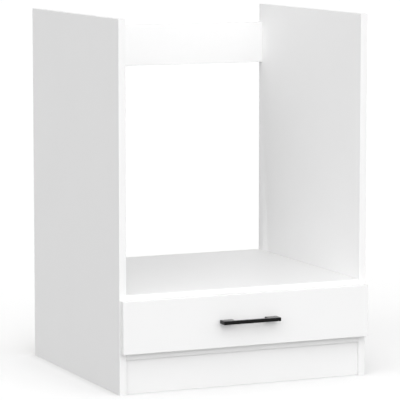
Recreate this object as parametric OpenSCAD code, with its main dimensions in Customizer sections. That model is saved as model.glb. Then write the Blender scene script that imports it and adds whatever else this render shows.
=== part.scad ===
// Oven base cabinet: an open niche for a built-in oven above one drawer on roller runners.
// Lengths are millimetres. X runs to the right, Y towards the wall, Z up from the floor.
// The origin is on the floor, under the middle of the whole cabinet with its handle.

/* [Carcass] */
// Width over both side panels
cabinet_w = 600; // [450:1:900]
// Height of the side panels, which stand on the floor
cabinet_h = 820; // [700:1:1000]
// Depth of the side panels
cabinet_d = 535; // [525:1:640]
// Thickness of the carcass boards
board_t = 16; // [15:0.5:19]
// Clear height of the drawer's room between the bottom panel and the oven shelf
drawer_room_h = 111; // [90:1:250]
// Oven shelf set back from the front edges of the side panels
shelf_inset = 1; // [0:0.5:10]
// Height of the rail across the back
rail_h = 96; // [80:1:150]
// Back rail below the top of the side panels
rail_drop = 44; // [0:1:100]
// Thickness of the hardboard sheets
hardboard_t = 3; // [2.5:0.5:5]
// Hardboard back set in from the rear edges of the side panels
back_recess = 2; // [0:0.5:10]
// Side play of the hardboard back between the side panels
back_play = 0.5; // [0.2:0.1:1]

/* [Plinth] */
// Floor to the underside of the bottom panel
plinth_h = 77; // [60:1:97]
// Plinth board set back from the front edges of the side panels
plinth_inset = 6; // [0:1:60]
// Middle of the cabinet to each angle bracket behind the plinth
bracket_x = 150; // [60:1:190]
// Length of both legs of a bracket
bracket_leg = 25; // [20:1:40]
// Width of a bracket
bracket_w = 18; // [12:1:30]
// Thickness of a bracket
bracket_t = 2; // [1.5:0.5:3]
// Corner of a bracket to the screw in each leg, as a share of the leg
bracket_screw_at = 0.6; // [0.5:0.05:0.7]

/* [Cam joints] */
// Diameter of a cam
cam_d = 15; // [12:0.5:16]
// Depth of a cam in its board
cam_len = 12.5; // [12:0.1:13.5]
// Board end to the middle of a cam
cam_back = 24; // [20:1:34]
// Width of the screwdriver cross in a cam
cam_slot_w = 1.6; // [1:0.1:2.5]
// Length of each arm pair of that cross
cam_slot_len = 9; // [6:0.5:11]
// Depth of that cross
cam_slot_depth = 2.5; // [1:0.5:3]
// Diameter of a cam bolt's thread
bolt_thread_d = 5; // [4:0.5:7]
// Length of a cam bolt's thread
bolt_thread_len = 11; // [8:0.5:12]
// Diameter of a cam bolt's shank
bolt_shank_d = 6; // [4:0.5:6.5]
// Diameter of a cam bolt's head
bolt_head_d = 7; // [6.5:0.5:7.5]
// Thickness of a cam bolt's head
bolt_head_len = 3; // [2:0.5:4]
// Play of that head in the cam's bore
bolt_head_play = 0.2; // [0.1:0.05:0.4]
// Diameter of a wooden dowel, and of the board end holes
dowel_d = 8; // [6:0.5:10]
// Length of a dowel
dowel_len = 30; // [24:1:40]
// Part of a dowel's length that sits in the face it joins to
dowel_seat = 11; // [8:0.5:12]
// Board edge to its nearest cam bolt
bolt_edge = 60; // [40:1:120]
// Cam bolt to the dowel beside it
dowel_step = 32; // [20:1:40]

/* [Drawer front] */
// Thickness of the drawer front
front_t = 16; // [15:0.5:22]
// Gap between the drawer front and the side panels' front edges
front_gap = 2; // [1:0.5:4]
// Drawer front short of the cabinet's sides
front_inset = 2; // [1:0.5:4]
// Drawer front over the shelf's front edge
front_lap_top = 4.5; // [2:0.5:12]
// Drawer front over the bottom panel's front edge
front_lap_low = 1; // [0.5:0.5:12]

/* [Drawer box] */
// Thickness of the drawer's sides and back
box_t = 16; // [15:0.5:18]
// Free height between the drawer box and the oven shelf
box_headroom = 16; // [6:1:22]
// Lower edge of the drawer sides to the groove for the drawer bottom
groove_up = 10; // [6:0.5:12]
// Depth of that groove
groove_depth = 6; // [4:0.5:7]
// Play of the hardboard in that groove
groove_play = 0.3; // [0.1:0.1:0.5]
// Top edge of the drawer sides to the dowel in each
box_dowel_down = 14; // [10:1:18]
// That dowel to the cam bolt under it
box_bolt_step = 25; // [20:1:28]
// Middle of the drawer back to its upper and lower screws
box_screw_step = 20; // [12:1:22]
// Diameter of those screws
box_screw_d = 5; // [4:0.5:6]
// Length of those screws
box_screw_len = 50; // [40:1:60]
// Head diameter of those screws
box_screw_head_d = 8; // [7:0.5:10]

/* [Runners] */
// Length of a cabinet runner and of the drawer sides
runner_len = 500; // [350:50:500]
// Cabinet runners behind the front edges of the side panels
runner_setback = 2; // [1:0.5:4]
// Travel of the drawer
drawer_travel = 370; // [200:1:400]
// Space between a side panel and the drawer box
side_space = 12.5; // [12.2:0.1:14]
// Thickness of the runner steel
sheet_t = 1.2; // [1:0.1:1.5]
// Bottom panel to the underside of the runners
runner_lift = 7; // [4:0.5:10]
// Side panel to the edge of a cabinet runner's lower flange
track_edge = 10; // [9.5:0.1:10.5]
// Side panel to the edge of its upper flange
guard_edge = 9; // [7:0.5:10]
// Length at the front that has no upper flange
guard_start = 40; // [30:1:60]
// Height of the tab that closes a cabinet runner's rear end
end_tab_h = 14; // [12:0.5:18]
// Height of the stop pressed up from the lower flange
stop_h = 3; // [2:0.5:4]
// Length of that stop
stop_len = 8; // [4:1:12]
// Running flange of the drawer runner short of the cabinet runner's back
flange_gap = 1.3; // [0.8:0.1:2]
// Running flange down to the foot flange under the drawer side
foot_drop = 18; // [16:0.5:20]
// Width of the foot flange under the drawer side
foot_w = 13; // [11:0.5:15]
// Outer face of a drawer side to the screws in the foot flange
foot_screw_in = 6.4; // [6:0.1:7]
// Clear height between the running flange and the upper flange
flange_play = 1; // [0.6:0.1:1.5]

/* [Rollers] */
// Diameter of a roller
roller_d = 19; // [17:0.5:20]
// Width of a roller
roller_w = 6; // [5:0.2:6.2]
// Side panel to the near face of a roller
roller_in = 3; // [2.8:0.1:3.2]
// Runner end to the middle of the cabinet's roller
roller_edge = 14; // [12:1:20]
// Room between a roller and the steel it runs on
track_gap = 0.2; // [0.1:0.05:0.4]
// Room above the drawer's roller under the running flange
roller_play = 0.6; // [0.4:0.1:1]
// Diameter of a roller's pin
pin_d = 4; // [3:0.5:5]
// Radial clearance of a roller on its pin
pin_clear = 0.05; // [0.02:0.01:0.1]
// Diameter of the collar and of the head beside the roller
pin_head_d = 7; // [6:0.5:8]
// Thickness of the pin's head
pin_head_t = 0.8; // [0.6:0.1:1]
// Depth of the groove in the sides of a roller
roller_dish = 1; // [0.5:0.1:1.5]
// Width of a roller's rim and of its hub wall
roller_wall = 2; // [1.5:0.1:2.5]

/* [Screws] */
// Diameter of the small screws
screw_d = 3.5; // [3:0.5:4]
// Length of the small screws under their heads
screw_len = 13; // [10:0.5:13]
// Head diameter of the small screws
screw_head_d = 7; // [6:0.5:8]
// Head height of the small screws
screw_head_h = 2; // [1.5:0.1:2.5]
// Front edge to the first runner screw
system_edge = 37; // [35:1:50]
// Pitch of the holes that the runner screws keep to
system_pitch = 32; // [25:1:32]
// Diameter of the tacks in the hardboard back
tack_d = 1.6; // [1.2:0.1:2]
// Length of the tacks
tack_len = 20; // [15:1:25]
// Head diameter of the tacks
tack_head_d = 4; // [3:0.5:5]
// Head height of the tacks
tack_head_h = 0.8; // [0.5:0.1:1]
// Side panel to the first tack
tack_edge = 44; // [40:1:70]
// Tacks in each row
tack_count = 5; // [3:1:8]
// Screws that hold the drawer bottom to the drawer back
bottom_screw_count = 3; // [2:1:5]
// Radial room of a fastener in its hole
peg_gap = 0.05; // [0.02:0.01:0.1]
// Room at the end of a blind hole
blind_gap = 1; // [0.5:0.5:2]

/* [Handle] */
// Length of the handle
handle_len = 138; // [120:1:300]
// Height of the handle's bar and feet
handle_h = 8; // [6:0.5:14]
// Reach of the handle from the drawer front
handle_reach = 25; // [22:1:40]
// Depth of the handle's bar
bar_t = 7; // [5:0.5:10]
// Length of each foot along the handle
foot_len = 29; // [24:1:40]
// Spacing of the handle's two screw holes
handle_pitch = 96; // [80:1:110]
// Diameter of the handle screws
handle_screw_d = 4; // [3:0.5:5]
// Depth of the handle screws in the feet
handle_screw_grip = 10; // [6:1:14]
// Head diameter of the handle screws
handle_screw_head_d = 8; // [7:0.5:10]
// Head height of the handle screws
handle_screw_head_h = 2.5; // [2:0.5:4]

/* [Hidden] */
$fn = 48;

// Depth: the cabinet's middle is at Y 0, the handle's face at the front
overall_d = cabinet_d + front_gap + front_t + handle_reach;
handle_front_y = -overall_d / 2;
face_y = handle_front_y + handle_reach;
front_back_y = face_y + front_t;
front_y = front_back_y + front_gap;
back_y = front_y + cabinet_d;

// Carcass levels and faces
inner_x = cabinet_w / 2 - board_t;
floor_z = plinth_h + board_t;
shelf_z = floor_z + drawer_room_h;
shelf_top = shelf_z + board_t;
hardboard_back_y = back_y - back_recess;
boards_rear_y = hardboard_back_y - hardboard_t;
shelf_front_y = front_y + shelf_inset;
rail_top = cabinet_h - rail_drop;
rail_mid = rail_top - rail_h / 2;
rail_y = back_y - board_t;
plinth_y = front_y + plinth_inset;

// Cam joints of the carcass, as [y, z] on a side panel's inner face
shelf_mid = shelf_z + board_t / 2;
bottom_mid = plinth_h + board_t / 2;
flat_bolts = [
    [shelf_front_y + bolt_edge, shelf_mid], [boards_rear_y - bolt_edge, shelf_mid],
    [front_y + bolt_edge, bottom_mid], [boards_rear_y - bolt_edge, bottom_mid]
];
rail_bolts = [[rail_y + board_t / 2, rail_mid]];
flat_dowels = [
    for (spot = flat_bolts) [spot[0] + dowel_step * (spot[0] < 0 ? 1 : -1), spot[1]]
];
rail_dowels = [for (step = [-1, 1]) [rail_y + board_t / 2, rail_mid + step * dowel_step]];
plinth_dowels = [
    for (step = [-1, 1]) [plinth_y + board_t / 2, plinth_h / 2 + step * dowel_step / 2]
];
carcass_bolt_spots = concat(flat_bolts, rail_bolts);
carcass_dowel_spots = concat(flat_dowels, rail_dowels, plinth_dowels);
end_hole_d = dowel_d + 2 * peg_gap;

// Runner levels
runner_z = floor_z + runner_lift;
track_z = runner_z + sheet_t;
rear_roller_z = track_z + track_gap + roller_d / 2;
flange_z = rear_roller_z + roller_d / 2 + roller_play;
front_roller_z = flange_z - track_gap - roller_d / 2;
guard_z = flange_z + sheet_t + flange_play;
runner_top = guard_z + sheet_t;
foot_z = flange_z - foot_drop;

// Runner ends and rollers along Y
runner_y = front_y + runner_setback;
runner_end = runner_y + runner_len;
front_roller_y = runner_y + roller_edge;
rear_roller_y = runner_end - sheet_t - track_gap - roller_d / 2;
stop_reach = sqrt(pow(roller_d / 2, 2) - pow(roller_d / 2 - stop_h, 2));
stop_y = rear_roller_y - drawer_travel - stop_reach - track_gap;

// Drawer box
box_outer_x = inner_x - side_space;
box_inner_x = box_outer_x - box_t;
box_z = foot_z + sheet_t;
box_top = shelf_z - box_headroom;
box_end = front_back_y + runner_len;
groove_z = box_z + groove_up;
groove_h = hardboard_t + groove_play;
drawer_back_z = groove_z + hardboard_t;
drawer_back_mid = (drawer_back_z + box_top) / 2;
drawer_back_y = box_end - box_t;
box_mid_x = box_outer_x - box_t / 2;
box_dowel_z = box_top - box_dowel_down;
box_bolt_z = box_dowel_z - box_bolt_step;

// Drawer front and handle
front_z = floor_z - front_lap_low;
front_top = shelf_z + front_lap_top;
front_mid = (front_z + front_top) / 2;
front_x = cabinet_w / 2 - front_inset;

// Runner screws keep to the system holes, counted from the front edge
last_step = floor((runner_len - system_edge - screw_head_d) / system_pitch);
screw_steps = [0, round(last_step / 2), last_step];
runner_screw_ys = [for (step = screw_steps) front_y + system_edge + step * system_pitch];
foot_screw_x = box_outer_x - foot_screw_in;

// Rows of fasteners across the cabinet
tack_span = inner_x - tack_edge;
tack_xs = [for (i = [0 : tack_count - 1]) -tack_span + 2 * tack_span * i / (tack_count - 1)];
bottom_screw_xs = [
    for (i = [1 : bottom_screw_count]) box_inner_x * (2 * i / (bottom_screw_count + 1) - 1)
];

white_board = [0.95, 0.95, 0.94];
white_steel = [0.90, 0.90, 0.89];
steel = [0.72, 0.73, 0.75];
zinc = [0.62, 0.63, 0.65];
beech = [0.80, 0.64, 0.43];
nylon = [0.88, 0.88, 0.84];
black = [0.08, 0.08, 0.08];

// A plain block between two corners
module block(low, high) translate(low) cube(high - low);

// Rods that start at a point and run along one axis
module rod_x(at, d, len) translate(at) rotate([0, 90, 0]) cylinder(d = d, h = len);
module rod_y(at, d, len) translate(at) rotate([-90, 0, 0]) cylinder(d = d, h = len);
module rod_z(at, d, len) translate(at) cylinder(d = d, h = len);

// The left half is drawn, and this adds its mirror image
module both_sides() {
    children();
    mirror([1, 0, 0]) children();
}
module right_hand() mirror([1, 0, 0]) children();

// A pan head screw: its head's seat is at the origin and its shank runs to +Z
module pan_screw(d, len, head_d, head_h) {
    cylinder(d = d, h = len);
    translate([0, 0, -head_h]) cylinder(d = head_d, h = head_h);
}

// A countersunk screw: its head is flush with Z 0 and its shank runs to +Z
module flush_screw(d, len, head_d) {
    cylinder(d = d, h = len);
    cylinder(d1 = head_d, d2 = d, h = (head_d - d) / 2);
}

// The hole for a countersunk screw, with room all round it
module flush_hole(d, len, head_d) {
    flush_screw(d + 2 * peg_gap, len + blind_gap, head_d + 2 * peg_gap);
    translate([0, 0, -blind_gap]) cylinder(d = head_d + 2 * peg_gap, h = blind_gap);
}

// A cam with its driver cross at Z 0, and its bolt coming in from -X at a board's middle
module cam(middle) difference() {
    cylinder(d = cam_d, h = cam_len);
    rod_x([-cam_d, 0, middle], bolt_head_d + bolt_head_play, cam_d + bolt_head_len);
    for (turn = [0, 90]) rotate(turn)
        block([-cam_slot_len / 2, -cam_slot_w / 2, -1], [cam_slot_len / 2, cam_slot_w / 2, cam_slot_depth]);
}

// The blind hole a cam sits in
module cam_hole() translate([0, 0, -1])
    cylinder(d = cam_d + 2 * peg_gap, h = cam_len + peg_gap + 1);

// A cam bolt: its thread runs to -X from the face it screws into, its shank to +X
module cam_bolt() {
    rod_x([-bolt_thread_len, 0, 0], bolt_thread_d, bolt_thread_len);
    rod_x([0, 0, 0], bolt_shank_d, cam_back - bolt_head_len / 2);
    rod_x([cam_back - bolt_head_len / 2, 0, 0], bolt_head_d, bolt_head_len);
}

// The thread's blind hole, and the hole through a board's end up to the cam
module thread_hole() rod_x([-bolt_thread_len - blind_gap, 0, 0],
    bolt_thread_d + 2 * peg_gap, bolt_thread_len + blind_gap + 1);
module end_hole() rod_x([-1, 0, 0], end_hole_d, cam_back + 1);

// A dowel across the joint at X 0, and its two blind holes
module dowel() rod_x([-dowel_seat, 0, 0], dowel_d, dowel_len);
module dowel_face_hole() rod_x([-dowel_seat - blind_gap, 0, 0],
    end_hole_d, dowel_seat + blind_gap + 1);
module dowel_end_hole() rod_x([-1, 0, 0], end_hole_d, dowel_len - dowel_seat + blind_gap + 1);

// Places a joint's fitting on the left side panel's inner face
module at_side(spot) translate([-inner_x, spot[0], spot[1]]) children();

// Places a fitting where the left drawer side meets the drawer front
module at_front(z) translate([-box_mid_x, front_back_y, z]) rotate([0, 0, 90]) children();

module side_panel() color(white_board) difference() {
    block([-cabinet_w / 2, front_y, 0], [-inner_x, back_y, cabinet_h]);
    for (spot = carcass_bolt_spots) at_side(spot) thread_hole();
    for (spot = carcass_dowel_spots) at_side(spot) dowel_face_hole();
    runner_screw_places() flush_hole(screw_d, screw_len, screw_head_d);
}
module side_panel_left() side_panel();
module side_panel_right() right_hand() side_panel();

// A level board with cam joints at both ends, drilled from below
module level_board(y, z) color(white_board) difference() {
    block([-inner_x, y, z], [inner_x, boards_rear_y, z + board_t]);
    both_sides() {
        for (spot = flat_bolts) if (abs(spot[1] - z) < board_t) {
            at_side(spot) end_hole();
            translate([-inner_x + cam_back, spot[0], z]) cam_hole();
        }
        for (spot = flat_dowels) if (abs(spot[1] - z) < board_t) at_side(spot) dowel_end_hole();
    }
    tack_places(z + board_t / 2) tack_hole();
}
module oven_shelf() level_board(shelf_front_y, shelf_z);
module bottom_panel() difference() {
    level_board(front_y, plinth_h);
    bracket_screw_up() pilot_hole();
}

// The rail's cams are drilled from behind
module rail_cam_place() translate([-inner_x + cam_back, back_y, rail_mid]) rotate([90, 0, 0]) children();
module back_rail() color(white_board) difference() {
    block([-inner_x, rail_y, rail_top - rail_h], [inner_x, back_y, rail_top]);
    both_sides() {
        for (spot = rail_bolts) at_side(spot) end_hole();
        for (spot = rail_dowels) at_side(spot) dowel_end_hole();
        rail_cam_place() cam_hole();
    }
}

module plinth_board() color(white_board) difference() {
    block([-inner_x, plinth_y, 0], [inner_x, plinth_y + board_t, plinth_h]);
    both_sides() for (spot = plinth_dowels) at_side(spot) dowel_end_hole();
    bracket_screw_front() pilot_hole();
}

// Hardboard on the rear edges of the bottom panel and the shelf, between the side panels
module lower_back_panel() color(white_board) difference() {
    block([-inner_x + back_play, boards_rear_y, plinth_h],
          [inner_x - back_play, hardboard_back_y, shelf_top]);
    for (z = [bottom_mid, shelf_mid]) tack_places(z) tack_hole();
}

// Tacks go in from behind
module tack_places(z) for (x = tack_xs)
    translate([x, hardboard_back_y, z]) rotate([90, 0, 0]) children();
module tack_hole() translate([0, 0, -1])
    cylinder(d = tack_d + 2 * peg_gap, h = tack_len + blind_gap + 1);
module back_panel_tacks() color(steel) for (z = [bottom_mid, shelf_mid])
    tack_places(z) pan_screw(tack_d, tack_len, tack_head_d, tack_head_h);

module carcass_cams() color(zinc) both_sides() {
    for (spot = flat_bolts)
        translate([-inner_x + cam_back, spot[0], spot[1] - board_t / 2]) cam(board_t / 2);
    rail_cam_place() cam(board_t / 2);
}
module carcass_bolts() color(steel) both_sides()
    for (spot = carcass_bolt_spots) at_side(spot) cam_bolt();
module carcass_dowels() color(beech) both_sides()
    for (spot = carcass_dowel_spots) at_side(spot) dowel();

// Angle brackets in the corner between the plinth and the bottom panel
bracket_y = plinth_y + board_t;
bracket_xs = [-bracket_x, bracket_x];
bracket_screw_reach = bracket_leg * bracket_screw_at;
module bracket_screw_up() for (x = bracket_xs)
    translate([x, bracket_y + bracket_screw_reach, plinth_h - bracket_t]) children();
module bracket_screw_front() for (x = bracket_xs)
    translate([x, bracket_y + bracket_t, plinth_h - bracket_screw_reach]) rotate([90, 0, 0]) children();
module pilot_hole() cylinder(d = screw_d + 2 * peg_gap, h = screw_len + blind_gap);
module plinth_brackets() color(steel) difference() {
    for (x = bracket_xs) {
        block([x - bracket_w / 2, bracket_y, plinth_h - bracket_t],
              [x + bracket_w / 2, bracket_y + bracket_leg, plinth_h]);
        block([x - bracket_w / 2, bracket_y, plinth_h - bracket_leg],
              [x + bracket_w / 2, bracket_y + bracket_t, plinth_h]);
    }
    bracket_screw_up() translate([0, 0, -1]) pilot_hole();
    bracket_screw_front() translate([0, 0, -1]) pilot_hole();
}
module plinth_bracket_screws() color(steel) {
    bracket_screw_up() pan_screw(screw_d, screw_len, screw_head_d, screw_head_h);
    bracket_screw_front() pan_screw(screw_d, screw_len, screw_head_d, screw_head_h);
}

// The channel screwed to a side panel: a back, a lower flange that the drawer's roller runs
// on, an upper flange that holds the drawer down, a stop and a rear end tab
module cabinet_runner() color(white_steel) difference() {
    union() {
        block([-inner_x, runner_y, runner_z], [-inner_x + sheet_t, runner_end, runner_top]);
        block([-inner_x, runner_y, runner_z], [-inner_x + track_edge, runner_end, track_z]);
        block([-inner_x, runner_y + guard_start, guard_z],
              [-inner_x + guard_edge, runner_end, runner_top]);
        block([-inner_x, runner_end - sheet_t, runner_z],
              [-inner_x + track_edge, runner_end, runner_z + end_tab_h]);
        block([-inner_x + roller_in, stop_y - stop_len, runner_z],
              [-inner_x + roller_in + roller_w, stop_y, track_z + stop_h]);
    }
    cabinet_pin_place() rivet_hole();
    runner_screw_places() flush_hole(screw_d, screw_len, screw_head_d);
}
module cabinet_runner_left() cabinet_runner();
module cabinet_runner_right() right_hand() cabinet_runner();

// Screws that hold the left cabinet runner, flush with the inside of its back
module runner_screw_places() for (y = runner_screw_ys)
    translate([-inner_x + sheet_t, y, front_roller_z]) rotate([0, -90, 0]) children();
module cabinet_runner_screws() color(steel) both_sides()
    runner_screw_places() flush_screw(screw_d, screw_len, screw_head_d);

// A roller's pin: riveted in the steel at X 0, then a collar, the roller and a head
module rivet_hole() rod_x([-1, 0, 0], pin_d + 2 * peg_gap, sheet_t + 2);
module roller_pin(collar_len) {
    rod_x([0, 0, 0], pin_d, sheet_t + collar_len + roller_w + 2 * track_gap + pin_head_t);
    rod_x([sheet_t, 0, 0], pin_head_d, collar_len);
    rod_x([sheet_t + collar_len + roller_w + 2 * track_gap, 0, 0], pin_head_d, pin_head_t);
}
cabinet_collar = roller_in - sheet_t - track_gap;
drawer_collar = side_space - sheet_t - roller_in - roller_w - track_gap;
module cabinet_pin_place() translate([-inner_x, front_roller_y, front_roller_z]) children();
module drawer_pin_place() translate([-box_outer_x, rear_roller_y, rear_roller_z])
    mirror([1, 0, 0]) children();
module cabinet_roller_pins() color(steel) both_sides() cabinet_pin_place() roller_pin(cabinet_collar);
module drawer_roller_pins() color(steel) both_sides() drawer_pin_place() roller_pin(drawer_collar);

// A roller with a ring groove in each side and a running bore
module roller() color(nylon) rotate([0, 90, 0]) difference() {
    cylinder(d = roller_d, h = roller_w);
    translate([0, 0, -1]) cylinder(d = pin_d + 2 * pin_clear, h = roller_w + 2);
    for (z = [-1, roller_w - roller_dish]) translate([0, 0, z]) difference() {
        cylinder(d = roller_d - 2 * roller_wall, h = roller_dish + 1);
        translate([0, 0, -1]) cylinder(d = pin_head_d + roller_wall, h = roller_dish + 3);
    }
}
module cabinet_roller_left() translate([-inner_x + roller_in, front_roller_y, front_roller_z]) roller();
module cabinet_roller_right() right_hand() cabinet_roller_left();
module drawer_roller_left() translate([-inner_x + roller_in, rear_roller_y, rear_roller_z]) roller();
module drawer_roller_right() right_hand() drawer_roller_left();

// Slab front, grooved for the drawer bottom, with the holes of its bolts, dowels and handle
module drawer_front() color(white_board) difference() {
    block([-front_x, face_y, front_z], [front_x, front_back_y, front_top]);
    block([-box_inner_x - groove_depth, front_back_y - groove_depth, groove_z],
          [box_inner_x + groove_depth, front_back_y + 1, groove_z + groove_h]);
    both_sides() {
        at_front(box_bolt_z) thread_hole();
        at_front(box_dowel_z) dowel_face_hole();
    }
    handle_screw_places() translate([0, 0, -1])
        cylinder(d = handle_screw_d + 2 * peg_gap, h = front_t + 2);
}

// Left side of the drawer box
module drawer_side() color(white_board) difference() {
    block([-box_outer_x, front_back_y, box_z], [-box_inner_x, box_end, box_top]);
    block([-box_inner_x - groove_depth, front_back_y - 1, groove_z],
          [-box_inner_x + 1, box_end + 1, groove_z + groove_h]);
    at_front(box_bolt_z) end_hole();
    at_front(box_dowel_z) dowel_end_hole();
    box_cam_place() cam_hole();
    box_screw_places() flush_hole(box_screw_d, box_screw_len, box_screw_head_d);
    foot_screw_places() pilot_hole();
}
module drawer_side_left() drawer_side();
module drawer_side_right() right_hand() drawer_side();

module drawer_back() color(white_board) difference() {
    block([-box_inner_x, drawer_back_y, drawer_back_z], [box_inner_x, box_end, box_top]);
    both_sides() box_screw_places() flush_hole(box_screw_d, box_screw_len, box_screw_head_d);
    bottom_screw_places() pilot_hole();
}

// Hardboard held in the grooves and under the drawer back
bottom_reach = groove_depth - groove_play;
module drawer_bottom() color(white_board) difference() {
    block([-box_inner_x - bottom_reach, front_back_y - bottom_reach, groove_z],
          [box_inner_x + bottom_reach, box_end, drawer_back_z]);
    bottom_screw_places() translate([0, 0, -1]) pilot_hole();
}

// The drawer's half of a runner: foot flange, web and running flange
module drawer_runner() color(white_steel) difference() {
    union() {
        block([-box_outer_x - sheet_t, front_y, foot_z], [-box_outer_x, box_end, flange_z + sheet_t]);
        block([-box_outer_x - sheet_t, front_y, foot_z], [-box_outer_x + foot_w, box_end, box_z]);
        block([-inner_x + sheet_t + flange_gap, front_y, flange_z],
              [-box_outer_x, box_end, flange_z + sheet_t]);
    }
    drawer_pin_place() rivet_hole();
    foot_screw_places() translate([0, 0, -1]) pilot_hole();
}
module drawer_runner_left() drawer_runner();
module drawer_runner_right() right_hand() drawer_runner();

// Screws up through the foot flange into the drawer side
module foot_screw_places() for (y = runner_screw_ys) translate([-foot_screw_x, y, foot_z]) children();
module drawer_runner_screws() color(steel) both_sides()
    foot_screw_places() pan_screw(screw_d, screw_len, screw_head_d, screw_head_h);

// The drawer sides' cams are drilled from inside the drawer
module box_cam_place() translate([-box_inner_x, front_back_y + cam_back, box_bolt_z])
    rotate([0, -90, 0]) rotate([0, 0, 90]) children();
module front_cams() color(zinc) both_sides() box_cam_place() cam(box_t / 2);
module front_bolts() color(steel) both_sides() at_front(box_bolt_z) cam_bolt();
module front_dowels() color(beech) both_sides() at_front(box_dowel_z) dowel();

// Screws through the drawer sides into the ends of the drawer back
module box_screw_places() for (step = [-1, 1])
    translate([-box_outer_x, box_end - box_t / 2, drawer_back_mid + step * box_screw_step])
        rotate([0, 90, 0]) children();
module drawer_box_screws() color(steel) both_sides()
    box_screw_places() flush_screw(box_screw_d, box_screw_len, box_screw_head_d);

module bottom_screw_places() for (x = bottom_screw_xs)
    translate([x, box_end - box_t / 2, groove_z]) children();
module drawer_bottom_screws() color(steel)
    bottom_screw_places() pan_screw(screw_d, screw_len, screw_head_d, screw_head_h);

// A bar on two long feet, cut from one outline seen from above
module handle() color(black) difference() {
    translate([0, 0, front_mid - handle_h / 2]) linear_extrude(handle_h) polygon([
        [-handle_len / 2, face_y], [-handle_len / 2, handle_front_y],
        [handle_len / 2, handle_front_y], [handle_len / 2, face_y],
        [handle_len / 2 - foot_len, face_y], [handle_len / 2 - foot_len, handle_front_y + bar_t],
        [-handle_len / 2 + foot_len, handle_front_y + bar_t], [-handle_len / 2 + foot_len, face_y]
    ]);
    handle_screw_places() cylinder(d = handle_screw_d + 2 * peg_gap,
        h = front_t + handle_screw_grip + blind_gap);
}

// Handle screws go in from inside the drawer
module handle_screw_places() for (side = [-1, 1])
    translate([side * handle_pitch / 2, front_back_y, front_mid]) rotate([90, 0, 0]) children();
module handle_screws() color(steel) handle_screw_places()
    pan_screw(handle_screw_d, front_t + handle_screw_grip, handle_screw_head_d, handle_screw_head_h);

side_panel_left();
side_panel_right();
bottom_panel();
oven_shelf();
back_rail();
plinth_board();
lower_back_panel();
back_panel_tacks();
carcass_cams();
carcass_bolts();
carcass_dowels();
plinth_brackets();
plinth_bracket_screws();
cabinet_runner_left();
cabinet_runner_right();
cabinet_runner_screws();
cabinet_roller_pins();
cabinet_roller_left();
cabinet_roller_right();
drawer_front();
drawer_side_left();
drawer_side_right();
drawer_back();
drawer_bottom();
drawer_runner_left();
drawer_runner_right();
drawer_runner_screws();
drawer_roller_pins();
drawer_roller_left();
drawer_roller_right();
front_cams();
front_bolts();
front_dowels();
drawer_box_screws();
drawer_bottom_screws();
handle();
handle_screws();
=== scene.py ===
# Oven base cabinet: an open oven niche over one drawer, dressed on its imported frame.
# Every length is in metres. X runs to the right, Y towards the wall, Z up from the floor.
import bmesh
import bpy
import numpy as np
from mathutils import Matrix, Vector


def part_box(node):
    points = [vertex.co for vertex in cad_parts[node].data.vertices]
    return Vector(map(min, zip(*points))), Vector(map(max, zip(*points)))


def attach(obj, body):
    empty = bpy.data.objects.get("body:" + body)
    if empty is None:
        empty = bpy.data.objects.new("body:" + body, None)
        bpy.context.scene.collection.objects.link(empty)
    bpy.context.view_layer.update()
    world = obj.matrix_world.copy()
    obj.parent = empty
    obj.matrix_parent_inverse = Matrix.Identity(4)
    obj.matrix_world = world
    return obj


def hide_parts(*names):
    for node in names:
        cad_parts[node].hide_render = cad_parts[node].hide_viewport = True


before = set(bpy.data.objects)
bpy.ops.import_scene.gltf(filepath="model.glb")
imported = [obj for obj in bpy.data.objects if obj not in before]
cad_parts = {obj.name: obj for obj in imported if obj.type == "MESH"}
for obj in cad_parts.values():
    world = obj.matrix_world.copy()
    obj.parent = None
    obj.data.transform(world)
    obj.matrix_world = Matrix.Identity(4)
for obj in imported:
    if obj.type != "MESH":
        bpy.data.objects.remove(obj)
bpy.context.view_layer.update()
print("frame loaded:", len(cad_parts), "nodes")


# Camera, floor and light
viewpoint = {
    "lens": 230.66,                      # in mm, as is the sensor
    "sensor": 36.0,
    "spot": (-2.3544, -5.3430, 1.1057),
    "tilt": 82.985,                      # degrees up from straight down
    "turn": -23.776,                     # degrees round the vertical
    "seesTo": 200.0,                     # how far away it stops seeing
}
studio = {
    "floorSide": 60.0,
    "floorTone": (0.30, 0.30, 0.30),     # what the floor throws back on the cabinet
    "floorShown": (0.56, 0.56, 0.56),    # what the camera and reflections see of it, lit
    "floorGlowPaintedShade": [                       # added to what they see: glows that ambient occlusion dims near the cabinet, a painted contact shade; strengths, and how near each fades
        (0.235, 0.025),
        (0.21, 0.2),
        (0.06, 1.6),
    ],
    "skyLight": 0.46,
    "suns": [                            # name, power, where it stands, how wide it is in radians
        ("softLeft", 2.66, (-0.60, -0.75, 0.30), 1.7),
        ("softRight", 1.27, (0.60, -0.75, 0.30), 1.7),
    ],
}


def addCamera(look):
    data = bpy.data.cameras.new("camera")
    data.sensor_width = look["sensor"]
    data.lens = look["lens"]
    data.clip_end = look["seesTo"]
    camera = bpy.data.objects.new("camera", data)
    camera.location = look["spot"]
    camera.rotation_euler = (np.radians(look["tilt"]), 0.0, np.radians(look["turn"]))
    bpy.context.scene.collection.objects.link(camera)
    bpy.context.scene.camera = camera


def addNode(tree, kind, values, links, **settings):
    # a shader node: its settings first, then constants and links on its input sockets
    node = tree.nodes.new("ShaderNode" + kind)
    for name, setting in settings.items():
        setattr(node, name, setting)
    for socket, value in values.items():
        node.inputs[socket].default_value = value
    for socket, source in links.items():
        tree.links.new(source, node.inputs[socket])
    return node


def seenDirectly(tree):
    # 1 for camera, glossy and transmission rays, 0 for the light that falls on the cabinet
    path = addNode(tree, "LightPath", {}, {})
    total = path.outputs["Is Camera Ray"]
    for ray in ("Is Glossy Ray", "Is Transmission Ray"):
        either = addNode(tree, "Math", {}, {0: total, 1: path.outputs[ray]}, operation="MAXIMUM")
        total = either.outputs[0]
    return total


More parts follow.
